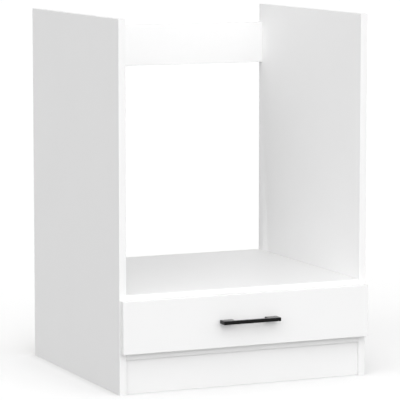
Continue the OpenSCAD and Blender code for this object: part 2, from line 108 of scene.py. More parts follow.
def mixByRay(tree, thrown, shown, outputKind):
    # one shader for the light that falls on the cabinet and another for what is seen
    links = {0: seenDirectly(tree), 1: thrown.outputs[0], 2: shown.outputs[0]}
    mix = addNode(tree, "MixShader", {}, links)
    addNode(tree, outputKind, {}, {"Surface": mix.outputs[0]})


def addFloor(look):
    half = look["floorSide"] / 2
    corners = [(-half, -half, 0), (half, -half, 0), (half, half, 0), (-half, half, 0)]
    mesh = bpy.data.meshes.new("floor")
    mesh.from_pydata(corners, [], [(0, 1, 2, 3)])
    floor = bpy.data.objects.new("floor", mesh)
    bpy.context.scene.collection.objects.link(floor)
    material = bpy.data.materials.new("studioFloor")
    material.use_nodes = True
    tree = material.node_tree
    tree.nodes.clear()
    thrown = addNode(tree, "BsdfDiffuse", {"Color": (*look["floorTone"], 1)}, {})
    shown = addNode(tree, "BsdfDiffuse", {"Color": (*look["floorShown"], 1)}, {})
    # painted contact shade: each glow is a strength times ambient occlusion, so the floor that is seen is
    # darker near the cabinet
    for strength, reach in look["floorGlowPaintedShade"]:
        paintedContactShade = addNode(tree, "AmbientOcclusion", {"Distance": reach, "Color": (1, 1, 1, 1)}, {})
        glow = addNode(tree, "Emission", {"Strength": strength}, {"Color": paintedContactShade.outputs["Color"]})
        shown = addNode(tree, "AddShader", {}, {0: shown.outputs[0], 1: glow.outputs[0]})
    mixByRay(tree, thrown, shown, "OutputMaterial")
    mesh.materials.append(material)


def addLight(look):
    world = bpy.data.worlds.new("studio")
    bpy.context.scene.world = world
    world.use_nodes = True
    tree = world.node_tree
    tree.nodes.clear()
    sky = addNode(tree, "Background", {"Color": (1, 1, 1, 1), "Strength": look["skyLight"]}, {})
    backdrop = addNode(tree, "Background", {"Color": (1, 1, 1, 1), "Strength": 1.0}, {})
    mixByRay(tree, sky, backdrop, "OutputWorld")
    for name, power, stands, spread in look["suns"]:
        lamp = bpy.data.lights.new(name, "SUN")
        lamp.energy = power
        lamp.angle = spread
        sun = bpy.data.objects.new(name, lamp)
        sun.rotation_euler = Vector(stands).to_track_quat("Z", "Y").to_euler()
        bpy.context.scene.collection.objects.link(sun)


addCamera(viewpoint)
addFloor(studio)
addLight(studio)
bpy.context.scene.view_settings.view_transform = "Standard"
print("camera, floor and light are set")


# Materials
def startMaterial(name, look):
    # look: constant values for the shader's own sockets
    material = bpy.data.materials.new(name)
    material.use_nodes = True
    tree = material.node_tree
    shader = tree.nodes["Principled BSDF"]
    for socket, value in look.items():
        shader.inputs[socket].default_value = value
    return material, tree, shader


def objectPlace(tree, stretch=(1, 1, 1)):
    # object coordinates times a factor on each axis: a pattern is drawn out where it is under 1
    coordinates = addNode(tree, "TexCoord", {}, {})
    mapping = addNode(tree, "Mapping", {"Scale": stretch}, {"Vector": coordinates.outputs["Object"]})
    return mapping.outputs[0]


def addNoise(tree, place, scale, detail, rough=0.5):
    values = {"Scale": scale, "Detail": detail, "Roughness": rough}
    return addNode(tree, "TexNoise", values, {"Vector": place}).outputs["Fac"]


def addCells(tree, place, scale):
    # each cell has a colour of its own
    return addNode(tree, "TexVoronoi", {"Scale": scale}, {"Vector": place}).outputs["Color"]


def stirredPlace(tree, place, scale, reach):
    # each place pushed about by a noise, so that cells lose their straight sides
    stir = addNode(tree, "TexNoise", {"Scale": scale}, {"Vector": place}).outputs["Color"]
    pushed = {1: (reach, reach, reach)}
    return addNode(tree, "VectorMath", pushed, {0: stir, 2: place}, operation="MULTIPLY_ADD").outputs[0]


def faceNearness(tree):
    # 0 in the middle of a board's thickness and 1 at its faces
    depth = addNode(tree, "Attribute", {}, {}, attribute_name="depth")
    return addNode(tree, "Math", {}, {0: depth.outputs["Fac"]}, operation="ABSOLUTE").outputs[0]


def addRamp(tree, factor, stops):
    # stops: position and tone pairs, in order; one number stands for a grey
    ramp = addNode(tree, "ValToRGB", {}, {"Fac": factor})
    band = ramp.color_ramp
    band.elements[0].position = stops[0][0]
    band.elements[1].position = stops[-1][0]
    for position, tone in stops[1:-1]:
        band.elements.new(position)
    for element, (position, tone) in zip(band.elements, stops):
        element.color = (*np.broadcast_to(tone, 3), 1)
    return ramp.outputs["Color"]


def setTone(tree, shader, factor, stops):
    tree.links.new(addRamp(tree, factor, stops), shader.inputs["Base Color"])


def setRoughness(tree, shader, value, low, high):
    # a 0 to 1 value stretched to lie between low and high
    reach = addNode(tree, "MapRange", {"To Min": low, "To Max": high}, {"Value": value})
    tree.links.new(reach.outputs["Result"], shader.inputs["Roughness"])


def addBump(tree, shader, height, depth, strength):
    bump = addNode(tree, "Bump", {"Distance": depth, "Strength": strength}, {"Height": height})
    tree.links.new(bump.outputs[0], shader.inputs["Normal"])


def mixTones(tree, factor, first, second):
    # a mix node keeps its two colours at inputs 6 and 7, and the mixed one at output 2
    links = {"Factor": factor, 6: first, 7: second}
    return addNode(tree, "Mix", {}, links, data_type="RGBA").outputs[2]


whites = {
    "melamine": {"tone": 0.905, "dull": 0.897},
    "front": {"tone": 0.905, "dull": 0.898},
    "edging": {"tone": 0.915, "dull": 0.907},
}


def melamineMaterial(name, white, pearl, roughness):
    # White melamine: a fine pearl in the surface, hardly clouded in tone, a soft sheen
    material, tree, shader = startMaterial(name, {"Specular IOR Level": 0.45})
    place = objectPlace(tree)
    cloud = addNoise(tree, place, scale=5.0, detail=3.0)
    stops = [(0.35, white["dull"]), (0.65, white["tone"])]
    setTone(tree, shader, cloud, stops)
    wiped = addNoise(tree, place, scale=38.0, detail=4.0, rough=0.6)
    setRoughness(tree, shader, wiped, *roughness)
    addBump(tree, shader, addNoise(tree, place, scale=1500.0, detail=1.0), pearl, strength=0.5)
    return material


def edgingMaterial(name, white):
    # Plastic edging: smoother than the boards, with the drag lines of its trimming
    material, tree, shader = startMaterial(name, {"Specular IOR Level": 0.5})
    place = objectPlace(tree)
    cloud = addNoise(tree, place, scale=9.0, detail=2.0)
    stops = [(0.35, white["dull"]), (0.65, white["tone"])]
    setTone(tree, shader, cloud, stops)
    wiped = addNoise(tree, place, scale=120.0, detail=3.0)
    setRoughness(tree, shader, wiped, low=0.28, high=0.38)
    addBump(tree, shader, addNoise(tree, place, scale=420.0, detail=3.0), depth=0.00002, strength=0.4)
    return material


def chipboardMaterial(name, stretch):
    # Raw chipboard in three layers: flat chips of several tans in the core with dark gaps among
    # them, and fine dust pressed close under both faces. Sawn, so rough and a little torn.
    material, tree, shader = startMaterial(name, {"Roughness": 0.85, "Specular IOR Level": 0.2})
    place = stirredPlace(tree, objectPlace(tree, stretch), scale=420.0, reach=0.0035)
    chips = addRamp(tree, addCells(tree, place, scale=240.0), [
        (0.05, (0.25, 0.145, 0.070)), (0.25, (0.47, 0.315, 0.170)), (0.5, (0.62, 0.455, 0.275)),
        (0.75, (0.72, 0.560, 0.365)), (0.95, (0.40, 0.255, 0.130)),
    ])
    dust = addRamp(tree, addCells(tree, place, scale=1100.0), [
        (0.0, (0.36, 0.235, 0.125)), (0.5, (0.54, 0.385, 0.225)), (1.0, (0.66, 0.505, 0.325)),
    ])
    fine = addRamp(tree, faceNearness(tree), [(0.42, 0.12), (0.70, 0.92)])
    gaps = addRamp(tree, addNoise(tree, place, scale=330.0, detail=3.0, rough=0.6), [
        (0.34, 0.9), (0.41, 0.25), (0.47, 0.0),
    ])
    shade = addRamp(tree, gaps, [(0.0, (0.16, 0.088, 0.040)), (1.0, (0.11, 0.058, 0.026))])
    layered = mixTones(tree, fine, mixTones(tree, gaps, chips, shade), dust)
    tree.links.new(layered, shader.inputs["Base Color"])
    torn = addNoise(tree, place, scale=380.0, detail=4.0, rough=0.65)
    addBump(tree, shader, torn, depth=0.0007, strength=0.7)
    return material


def hardboardMaterial(name, axis, level, brownAbove):
    # Hardboard painted white on one face, with brown fibre on the other: the brown starts past
    # a level on one axis
    material, tree, shader = startMaterial(name, {"Specular IOR Level": 0.35})
    place = objectPlace(tree)
    stirred = stirredPlace(tree, place, scale=160.0, reach=0.006)
    strands = addNoise(tree, stirred, scale=620.0, detail=5.0, rough=0.75)
    darkFibre = addRamp(tree, strands, [
        (0.30, (0.120, 0.064, 0.030)), (0.5, (0.230, 0.134, 0.069)), (0.66, (0.350, 0.222, 0.125)),
    ])
    paleFibre = addRamp(tree, strands, [
        (0.28, (0.165, 0.092, 0.045)), (0.5, (0.290, 0.176, 0.095)), (0.64, (0.440, 0.295, 0.175)),
    ])
    fibre = mixTones(tree, addNoise(tree, place, scale=26.0, detail=4.0, rough=0.65), darkFibre, paleFibre)
    paint = addRamp(tree, addNoise(tree, place, scale=7.0, detail=2.0), [
        (0.35, (0.86, 0.86, 0.85)), (0.65, (0.885, 0.885, 0.875)),
    ])
    across = addNode(tree, "SeparateXYZ", {}, {0: place}).outputs[axis]
    compare = "GREATER_THAN" if brownAbove else "LESS_THAN"
    past = addNode(tree, "Math", {1: level}, {0: across}, operation=compare)
    tree.links.new(mixTones(tree, past.outputs[0], paint, fibre), shader.inputs["Base Color"])
    setRoughness(tree, shader, past.outputs[0], low=0.42, high=0.72)
    pressed = addNoise(tree, place, scale=650.0, detail=4.0, rough=0.6)
    addBump(tree, shader, pressed, depth=0.00012, strength=0.5)
    return material


def coatedSteelMaterial(name):
    # White powder coat on the runners: orange peel, and streaks along the way the rollers run
    material, tree, shader = startMaterial(name, {"Specular IOR Level": 0.5})
    place = objectPlace(tree)
    along = objectPlace(tree, (1.0, 0.04, 1.0))
    streak = addNoise(tree, along, scale=900.0, detail=3.0, rough=0.6)
    setTone(tree, shader, streak, [(0.30, (0.74, 0.74, 0.72)), (0.55, (0.82, 0.82, 0.80))])
    setRoughness(tree, shader, streak, low=0.44, high=0.28)
    addBump(tree, shader, addNoise(tree, place, scale=800.0, detail=1.0), depth=0.00004, strength=0.6)
    return material


def platedSteelMaterial(name, tone, stretch=(1, 1, 1)):
    # Zinc plated steel: an uneven sheen, drawn out along an axis that has a small stretch
    material, tree, shader = startMaterial(name, {"Metallic": 1.0})
    place = objectPlace(tree, stretch)
    worn = addNoise(tree, place, scale=700.0, detail=4.0, rough=0.6)
    darker = tuple(0.82 * channel for channel in tone)
    setTone(tree, shader, worn, [(0.3, darker), (0.65, tone)])
    setRoughness(tree, shader, worn, low=0.38, high=0.22)
    addBump(tree, shader, addNoise(tree, place, scale=2200.0, detail=2.0), depth=0.00001, strength=0.5)
    return material


def castZincMaterial(name):
    # Die-cast zinc: a dull grey with a fine sandy skin
    material, tree, shader = startMaterial(name, {"Metallic": 1.0})
    place = objectPlace(tree)
    skin = addNoise(tree, place, scale=1600.0, detail=4.0, rough=0.7)
    setTone(tree, shader, skin, [(0.3, (0.34, 0.345, 0.36)), (0.7, (0.55, 0.555, 0.57))])
    setRoughness(tree, shader, skin, low=0.42, high=0.60)
    addBump(tree, shader, skin, depth=0.00005, strength=0.6)
    return material


def nylonMaterial(name):
    # White nylon: light goes a little way in, and the skin is faintly scuffed
    look = {"Subsurface Weight": 0.15, "Subsurface Scale": 0.001, "Specular IOR Level": 0.45}
    material, tree, shader = startMaterial(name, look)
    place = objectPlace(tree)
    scuff = addNoise(tree, place, scale=420.0, detail=4.0, rough=0.6)
    setTone(tree, shader, scuff, [(0.3, (0.74, 0.74, 0.70)), (0.6, (0.82, 0.82, 0.785))])
    setRoughness(tree, shader, scuff, low=0.36, high=0.52)
    addBump(tree, shader, scuff, depth=0.00003, strength=0.4)
    return material


def beechMaterial(name, stretch):
    # Beech: long pores and flecks along the dowels
    material, tree, shader = startMaterial(name, {"Roughness": 0.62, "Specular IOR Level": 0.3})
    place = objectPlace(tree, stretch)
    grain = addNoise(tree, place, scale=900.0, detail=5.0, rough=0.65)
    setTone(tree, shader, grain, [
        (0.25, (0.36, 0.205, 0.095)), (0.5, (0.58, 0.38, 0.205)), (0.8, (0.68, 0.48, 0.28)),
    ])
    addBump(tree, shader, grain, depth=0.00008, strength=0.6)
    return material


def blackCoatMaterial(name):
    # Black coat on the handle: almost no sheen head-on, a clear one at a low angle, a fine grain
    material, tree, shader = startMaterial(name, {"Specular IOR Level": 0.16})
    place = objectPlace(tree)
    setTone(tree, shader, addNoise(tree, place, scale=60.0, detail=3.0), [
        (0.35, (0.0022, 0.0022, 0.0023)), (0.65, (0.0036, 0.0036, 0.0038)),
    ])
    grain = addNoise(tree, place, scale=3200.0, detail=2.0)
    setRoughness(tree, shader, grain, low=0.15, high=0.21)
    addBump(tree, shader, grain, depth=0.00001, strength=0.5)
    return material


boardWhite = melamineMaterial("boardWhite", whites["melamine"], 0.00002, (0.40, 0.50))
frontWhite = melamineMaterial("frontWhite", whites["front"], 0.000012, (0.34, 0.42))
edgeWhite = edgingMaterial("edgeWhite", whites["edging"])
rawChips = {
    0: chipboardMaterial("chipboardUpright", (3.2, 1.0, 1.0)),   # boards that are thin along X
    1: chipboardMaterial("chipboardAcross", (1.0, 3.2, 1.0)),    # thin along Y
    2: chipboardMaterial("chipboardLevel", (1.0, 1.0, 3.2)),     # thin along Z
}
coatedSteel = coatedSteelMaterial("coatedSteel")
platedSteel = platedSteelMaterial("platedSteel", (0.66, 0.68, 0.71))
bracketSteel = platedSteelMaterial("bracketSteel", (0.60, 0.62, 0.66), (0.1, 1.0, 1.0))
castZinc = castZincMaterial("castZinc")
nylon = nylonMaterial("nylon")
beechAcross = beechMaterial("beechAcross", (0.05, 1.0, 1.0))
beechDeep = beechMaterial("beechDeep", (1.0, 0.05, 1.0))
blackCoat = blackCoatMaterial("blackCoat")
print("materials are made")


# Ways to make a piece
def gridFaces(rows, columns, closed=True, looped=False):
    # four-sided faces between neighbouring rows; closed joins the last column to the first,
    # and looped joins the last row to the first
    down = np.arange(rows if looped else rows - 1)
    across = np.arange(columns if closed else columns - 1)
    row, column = np.meshgrid(down, across, indexing="ij")
    below, beside = (row + 1) % rows, (column + 1) % columns
    here, there = row * columns, below * columns
    corners = [here + column, here + beside, there + beside, there + column]
    return np.stack(corners, axis=-1).reshape(-1, 4)


def ringCaps(rows, columns):
    # one face over the first row and one over the last
    first = np.arange(columns)[::-1]
    return [first.tolist(), (first[::-1] + (rows - 1) * columns).tolist()]


def cappedShell(points):
    # points: rows x columns x 3, each row a closed ring; both ends get a face
    rows, columns = points.shape[:2]
    return points.reshape(-1, 3), gridFaces(rows, columns).tolist() + ringCaps(rows, columns)


def joinShells(shells):
    points, faces, start = [], [], 0
    for verts, shellFaces in shells:
        points.append(verts)
        faces += [[start + corner for corner in face] for face in shellFaces]
        start += len(verts)
    return np.concatenate(points), faces


def addPiece(name, shells, body, node, materials, smoothBelow=32.0):
    # makes the mesh, turns its faces outwards, and hangs the piece on its body
    verts, faces = joinShells(shells)
    mesh = bpy.data.meshes.new(name)
    mesh.from_pydata(verts.tolist(), [], faces)
    turned = bmesh.new()
    turned.from_mesh(mesh)
    bmesh.ops.recalc_face_normals(turned, faces=turned.faces)
    turned.to_mesh(mesh)
    turned.free()
    finishPiece(name, mesh, body, node, materials, smoothBelow)


def finishPiece(name, mesh, body, node, materials, smoothBelow):
    # smoothBelow: faces that meet at less than so many degrees are shaded as one
    mesh.polygons.foreach_set("use_smooth", np.ones(len(mesh.polygons), bool))
    mesh.set_sharp_from_angle(angle=np.radians(smoothBelow))
    for material in materials:
        mesh.materials.append(material)
    piece = bpy.data.objects.new(name, mesh)
    bpy.context.scene.collection.objects.link(piece)
    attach(piece, body)
    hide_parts(node)


def nodeBox(node):
    low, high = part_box(node)
    return np.array(low), np.array(high)


def roundedOutline(corners, radii, steps=5):
    # A closed outline in a plane with its corners rounded: at each corner an arc from one
    # side to the next, a radius away from a centre on the bisector. Also the outward normals.
    corners = np.asarray(corners, float)
    back = np.roll(corners, 1, axis=0) - corners
    ahead = np.roll(corners, -1, axis=0) - corners
    back /= np.linalg.norm(back, axis=1)[:, None]
    ahead /= np.linalg.norm(ahead, axis=1)[:, None]
    halfAngle = np.arccos(np.clip((back * ahead).sum(axis=1), -1, 1)) / 2
    radii = np.broadcast_to(np.asarray(radii, float), halfAngle.shape)
    middle = back + ahead
    middle /= np.linalg.norm(middle, axis=1)[:, None]
    centre = corners + middle * (radii / np.sin(halfAngle))[:, None]
    first = corners + back * (radii / np.tan(halfAngle))[:, None] - centre
    last = corners + ahead * (radii / np.tan(halfAngle))[:, None] - centre
    share = np.linspace(0, 1, steps)[None, :, None]
    arc = first[:, None] * (1 - share) + last[:, None] * share
    arc *= radii[:, None, None] / np.linalg.norm(arc, axis=2)[..., None]
    outward = arc / radii[:, None, None]
    turnLeft = np.cross(-back, ahead) < 0
    outward = np.where(turnLeft[:, None, None], -outward, outward)
    return (centre[:, None] + arc).reshape(-1, 2), outward.reshape(-1, 2)


def easedSlab(outline, outward, low, high, ease, axes, steps=5):
    # An outline carried through a thickness; near both faces it draws in along a quarter circle.
    # axes: where the outline's two directions and the thickness lie in space.
    sweep = np.linspace(0, np.pi / 2, steps)
    drawnIn = np.concatenate([ease * (1 - np.sin(sweep)), ease * (1 - np.sin(sweep[::-1]))])
    level = np.concatenate([low + ease * (1 - np.cos(sweep)), high - ease * (1 - np.cos(sweep[::-1]))])
    flat = outline[None] - outward[None] * drawnIn[:, None, None]
    points = np.zeros((len(level), len(outline), 3))
    points[..., axes[0]] = flat[..., 0]
    points[..., axes[1]] = flat[..., 1]
    points[..., axes[2]] = level[:, None]
    return cappedShell(points)


def placedShell(shell, place, way, turn):
    # local Z laid along a direction, turned about it, and moved to its place
    way = np.asarray(way, float)
    aside = np.cross(way, [0.0, 0.0, 1.0] if abs(way[2]) < 0.9 else [1.0, 0.0, 0.0])
    aside /= np.linalg.norm(aside)
    other = np.cross(way, aside)
    side = aside * np.cos(turn) + other * np.sin(turn)
    turnedAxes = np.stack([side, np.cross(way, side), way])
    return shell[0] @ turnedAxes + np.asarray(place), shell[1]


def readRows(items, name, kind=float):
    # three values for each vertex, face or triangle of a mesh, as rows
    values = np.zeros(len(items) * 3, kind)
    items.foreach_get(name, values)
    return values.reshape(-1, 3)


def solidBoxes(node, places=6):
    # the lowest and highest corners of each separate solid in a CAD node: vertices that agree
    # to so many places are one, and a label spreads over the triangles that share them
    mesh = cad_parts[node].data
    mesh.calc_loop_triangles()
    points = readRows(mesh.vertices, "co")
    merged, place = np.unique(np.round(points, places), axis=0, return_inverse=True)
    triangles = place.reshape(-1)[readRows(mesh.loop_triangles, "vertices", int)]
    label = np.arange(len(merged))
    while True:
        lowest = label[triangles].min(axis=1)
        spread = label.copy()
        np.minimum.at(spread, triangles.ravel(), np.repeat(lowest, 3))
        if (spread == label).all():
            break
        label = spread
    solids = [merged[label == number] for number in np.unique(label)]
    return [(solid.min(axis=0), solid.max(axis=0)) for solid in solids]


# Boards: each keeps the CAD board's holes and grooves, is drawn in where edging covers it,
# shows raw chipboard on its other cut faces, and carries rounded edging strips.
boards = {
    "side_panel_left": {"thin": 0, "edged": ["front", "top", "low"]},
    "side_panel_right": {"thin": 0, "edged": ["front", "top", "low"]},
    "bottom_panel": {"thin": 2, "edged": ["front"]},
    "oven_shelf": {"thin": 2, "edged": ["front"]},
    "back_rail": {"thin": 1, "edged": ["top", "low"]},
    "plinth_board": {"thin": 1, "edged": ["low"]},
    "drawer_front": {"thin": 1, "edged": ["round"]},
    "drawer_side_left": {"thin": 0, "edged": ["top"]},
    "drawer_side_right": {"thin": 0, "edged": ["top"]},
    "drawer_back": {"thin": 1, "edged": ["top"]},
}
edging = {
    "thick": 0.0008,
    "ease": 0.0006,     # radius of the trimmed corners
    "endGap": 0.0002,   # board ends short of the panels they meet
    "steps": 5,         # points on each rounded corner
}
closeness = {               # what counts as the same place when a CAD board is read
    "vertices": 0.00001,
    "bend": 0.4,            # degrees between two faces that become one
    "side": 0.00002,
    "face": 0.00005,
    "square": 0.99,         # share of a face's normal that runs through the board
}


def edgingShell(low, high, thin, corners, closed, look):
    # An edging strip: a flat-backed profile with two rounded corners, carried along the board's
    # edge with mitred corners. corners: 0 or 1 for the low or high end on the board's two axes.
    flat = [axis for axis in range(3) if axis != thin]
    corners = np.asarray(corners, float)
    path = low[flat] + corners * (high - low)[flat]
    along = np.roll(path, -1, axis=0) - path
    along /= np.linalg.norm(along, axis=1)[:, None]
    outward = np.stack([along[:, 1], -along[:, 0]], axis=1)
    middle = (low[flat] + high[flat]) / 2
    facing = np.sign(((path + np.roll(path, -1, axis=0)) / 2 - middle) @ outward.T).diagonal()
    outward = outward * facing[:, None]
    before = np.roll(outward, 1, axis=0)
    mitre = before + outward
    if not closed:
        mitre[0], mitre[-1] = outward[0], before[-1]
    thick, ease = look["thick"], look["ease"]
    half = (high[thin] - low[thin]) / 2
    sweep = np.linspace(0, np.pi / 2, look["steps"])
    rounding = ease * (np.sin(sweep) - 1)
    rise = np.concatenate([[-thick], rounding, rounding[::-1], [-thick]])
    width = half - np.concatenate([[0], ease * (1 - np.cos(sweep))])
    width = np.concatenate([-width, width[::-1]])
    points = np.zeros((len(path), len(rise), 3))
    points[..., flat[0]] = path[:, None, 0] + mitre[:, None, 0] * rise[None]
    points[..., flat[1]] = path[:, None, 1] + mitre[:, None, 1] * rise[None]
    points[..., thin] = (low[thin] + high[thin]) / 2 + width[None]
    if closed:
        return points.reshape(-1, 3), gridFaces(len(path), len(rise), looped=True).tolist()
    return cappedShell(points)


def addBoard(node, look, body, skin):
    thin = look["thin"]
    low, high = nodeBox(node)
    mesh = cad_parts[node].data.copy()
    mesh.name = node + "_board"
    mesh.materials.clear()
    merged = bmesh.new()
    merged.from_mesh(mesh)
    bmesh.ops.remove_doubles(merged, verts=merged.verts, dist=closeness["vertices"])
    bend = np.radians(closeness["bend"])
    bmesh.ops.dissolve_limit(merged, angle_limit=bend, verts=merged.verts, edges=merged.edges)
    merged.to_mesh(mesh)
    merged.free()
    # sides drawn in: the axis, which end, and how far
    thick = edging["thick"]
    sides = {"front": [(1, 0, thick)], "top": [(2, 1, thick)], "low": [(2, 0, thick)]}
    sides["round"] = [(0, 0, thick), (0, 1, thick), (2, 0, thick), (2, 1, thick)]
    drawn = [side for name in look["edged"] for side in sides[name]]
    if thin != 0 and "round" not in look["edged"]:
        drawn += [(0, 0, edging["endGap"]), (0, 1, edging["endGap"])]
    points = readRows(mesh.vertices, "co")
    for axis, end, depth in drawn:
        edge = (low, high)[end][axis]
        near = np.abs(points[:, axis] - edge) < closeness["side"]
        points[near, axis] = edge + (depth if end == 0 else -depth)
    mesh.vertices.foreach_set("co", points.ravel())
    mesh.update()
    depth = mesh.attributes.new("depth", "FLOAT", "POINT")
    depth.data.foreach_set("value", 2 * (points[:, thin] - low[thin]) / (high[thin] - low[thin]) - 1)
    level = readRows(mesh.polygons, "center")[:, thin]
    toFace = np.minimum(np.abs(level - low[thin]), np.abs(level - high[thin]))
    square = np.abs(readRows(mesh.polygons, "normal")[:, thin]) > closeness["square"]
    faced = (toFace < closeness["face"]) & square
    mesh.polygons.foreach_set("material_index", np.where(faced, 0, 1).astype(np.int32))
    finishPiece(mesh.name, mesh, body, node, [skin, rawChips[thin]], smoothBelow=20.0)
    paths = {
        "front": [(0, 0), (0, 1)], "top": [(0, 1), (1, 1)], "low": [(0, 0), (1, 0)],
        "round": [(0, 0), (1, 0), (1, 1), (0, 1)],
    }
    if thin == 2:
        paths["front"] = [(0, 0), (1, 0)]
    if thin == 0 and "front" in look["edged"]:
        paths = {"all_but_back": [(1, 0), (0, 0), (0, 1), (1, 1)]}
    for name, corners in paths.items():
        if name in look["edged"] or name == "all_but_back":
            gap = np.array([edging["endGap"] if thin != 0 and name != "round" else 0, 0, 0])
            shell = edgingShell(low + gap, high - gap, thin, corners, name == "round", edging)
            addPiece(node + "_edging_" + name, [shell], body, node, [edgeWhite])


for node, look in boards.items():
    body = "drawer" if node.startswith("drawer") else "cabinet"
    slotName, skin = "white_board", boardWhite
    if node == "drawer_front":
        slotName, skin = "white_front", frontWhite
    addBoard(node, look, body, skin)
print("boards and edging are made")


def dressNode(node, material):
    # a CAD node whose shape stays gets its material
    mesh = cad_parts[node].data
    mesh.materials.clear()
    mesh.materials.append(material)


# Hardboard sheets: brown shows on the face away from the inside, and this deep at the edges
brownDepth = 0.0004
backRear = nodeBox("lower_back_panel")[1][1]
sheetUnder = nodeBox("drawer_bottom")[0][2]
dressNode("lower_back_panel", hardboardMaterial("hardboardBack", 1, backRear - brownDepth, True))
dressNode("drawer_bottom", hardboardMaterial("hardboardDrawer", 2, sheetUnder + brownDepth, False))
for node in ("carcass_cams", "front_cams"):
    dressNode(node, castZinc)


# The handle
handle = {
    "footLength": 0.029,
    "barDepth": 0.007,
    "outerRadius": 0.0010,
    "innerRadius": 0.0014,
    "footRadius": 0.0007,
    "edgeEase": 0.0005,     # stays under each of the radii
}


def addHandle(look):
    # The outline of the bar and its two feet seen from above, carried through the handle's height
    low, high = nodeBox("handle")
    foot, bar = look["footLength"], look["barDepth"]
    outer, inner, seat = look["outerRadius"], look["innerRadius"], look["footRadius"]
    left, right, front, back = low[0], high[0], low[1], high[1]
    corners = [
        (left, front), (right, front), (right, back), (right - foot, back),
        (right - foot, front + bar), (left + foot, front + bar), (left + foot, back), (left, back),
    ]
    outline, outward = roundedOutline(corners, [outer, outer, seat, seat, inner, inner, seat, seat])
    shell = easedSlab(outline, outward, low[2], high[2], look["edgeEase"], (0, 1, 2))
    addPiece("handle_bar", [shell], "drawer", "handle", [blackCoat], smoothBelow=40.0)


addHandle(handle)
print("handle is made")

# Runners: sheet steel folded round long bends. The left ones are drawn, the right ones mirrored.
runners = {
    "sheet": 0.0012,
    "bend": 0.0014,          # radius of the sheet's middle at a fold
    "guardRamp": 0.006,      # length over which the upper flange rises to its full reach
    "guardStart": 0.040,
    "guardShort": 0.001,     # upper flange short of the lower one
    "stub": 0.0003,          # what is left of the upper flange in front of guardStart
    "tabHeight": 0.014,
    "tabRadius": 0.003,
    "tabCorner": 0.0003,     # radius of the rear tab's other corners
    "tabEase": 0.0002,
    "stopHeight": 0.003,
    "stopLength": 0.008,
    "stopSunk": 0.0003,      # the stop's rim under the face that it is pressed from
    "rollerInset": 0.003,    # side panel to the roller
    "rollerWidth": 0.006,
    "travel": 0.370,
    "footWidth": 0.013,
}


def foldedSection(corners, bend, thick, steps=7):
    # A folded sheet's section: the middle line runs through the corners with a round bend at
    # each, and both faces lie half a thickness away from it along its normal.
    corners = np.asarray(corners, float)
    line = [corners[:1]]
    for before, here, after in zip(corners[:-2], corners[1:-1], corners[2:]):
        back = (before - here) / np.linalg.norm(before - here)
        ahead = (after - here) / np.linalg.norm(after - here)
        share = np.linspace(0, np.pi / 2, steps)[:, None]
        line.append(here + bend * (back * (1 - np.sin(share)) + ahead * (1 - np.cos(share))))
    line.append(corners[-1:])
    line = np.concatenate(line)
    step = np.gradient(line, axis=0)
    step[0], step[-1] = line[1] - line[0], line[-1] - line[-2]
    normal = np.stack([-step[:, 1], step[:, 0]], axis=1)
    normal /= np.linalg.norm(normal, axis=1)[:, None]
    return np.concatenate([line + normal * thick / 2, (line - normal * thick / 2)[::-1]])


def carriedSection(sections, stations):
    # a closed section in X and Z for each station along Y
    points = np.zeros((len(stations), sections.shape[1], 3))
    points[..., ::2] = sections
    points[..., 1] = np.asarray(stations)[:, None]
    return cappedShell(points)


def bumpShell(middle, half, base, rise, sunk, count=13):
    # A pressed bump on a square grid with count points along each side: its height is rise
    # times (1 - u^4)(1 - v^4), where u and v run from -1 to 1
    u = np.linspace(-1, 1, count)
    across, along = np.meshgrid(u, u, indexing="ij")
    level = base + rise * (1 - across ** 4) * (1 - along ** 4)
    rim = np.maximum(np.abs(across), np.abs(along)) == 1
    level = np.where(rim, base - sunk, level)
    points = np.stack([middle[0] + half[0] * across, middle[1] + half[1] * along, level], axis=-1)
    index = np.arange(count * count).reshape(count, count)
    border = np.concatenate([index[0, :-1], index[:-1, -1], index[-1, :0:-1], index[:0:-1, 0]])
    return points.reshape(-1, 3), gridFaces(count, count, closed=False).tolist() + [border.tolist()]


def mirrored(shell):
    return shell[0] * np.array([-1, 1, 1]), shell[1]


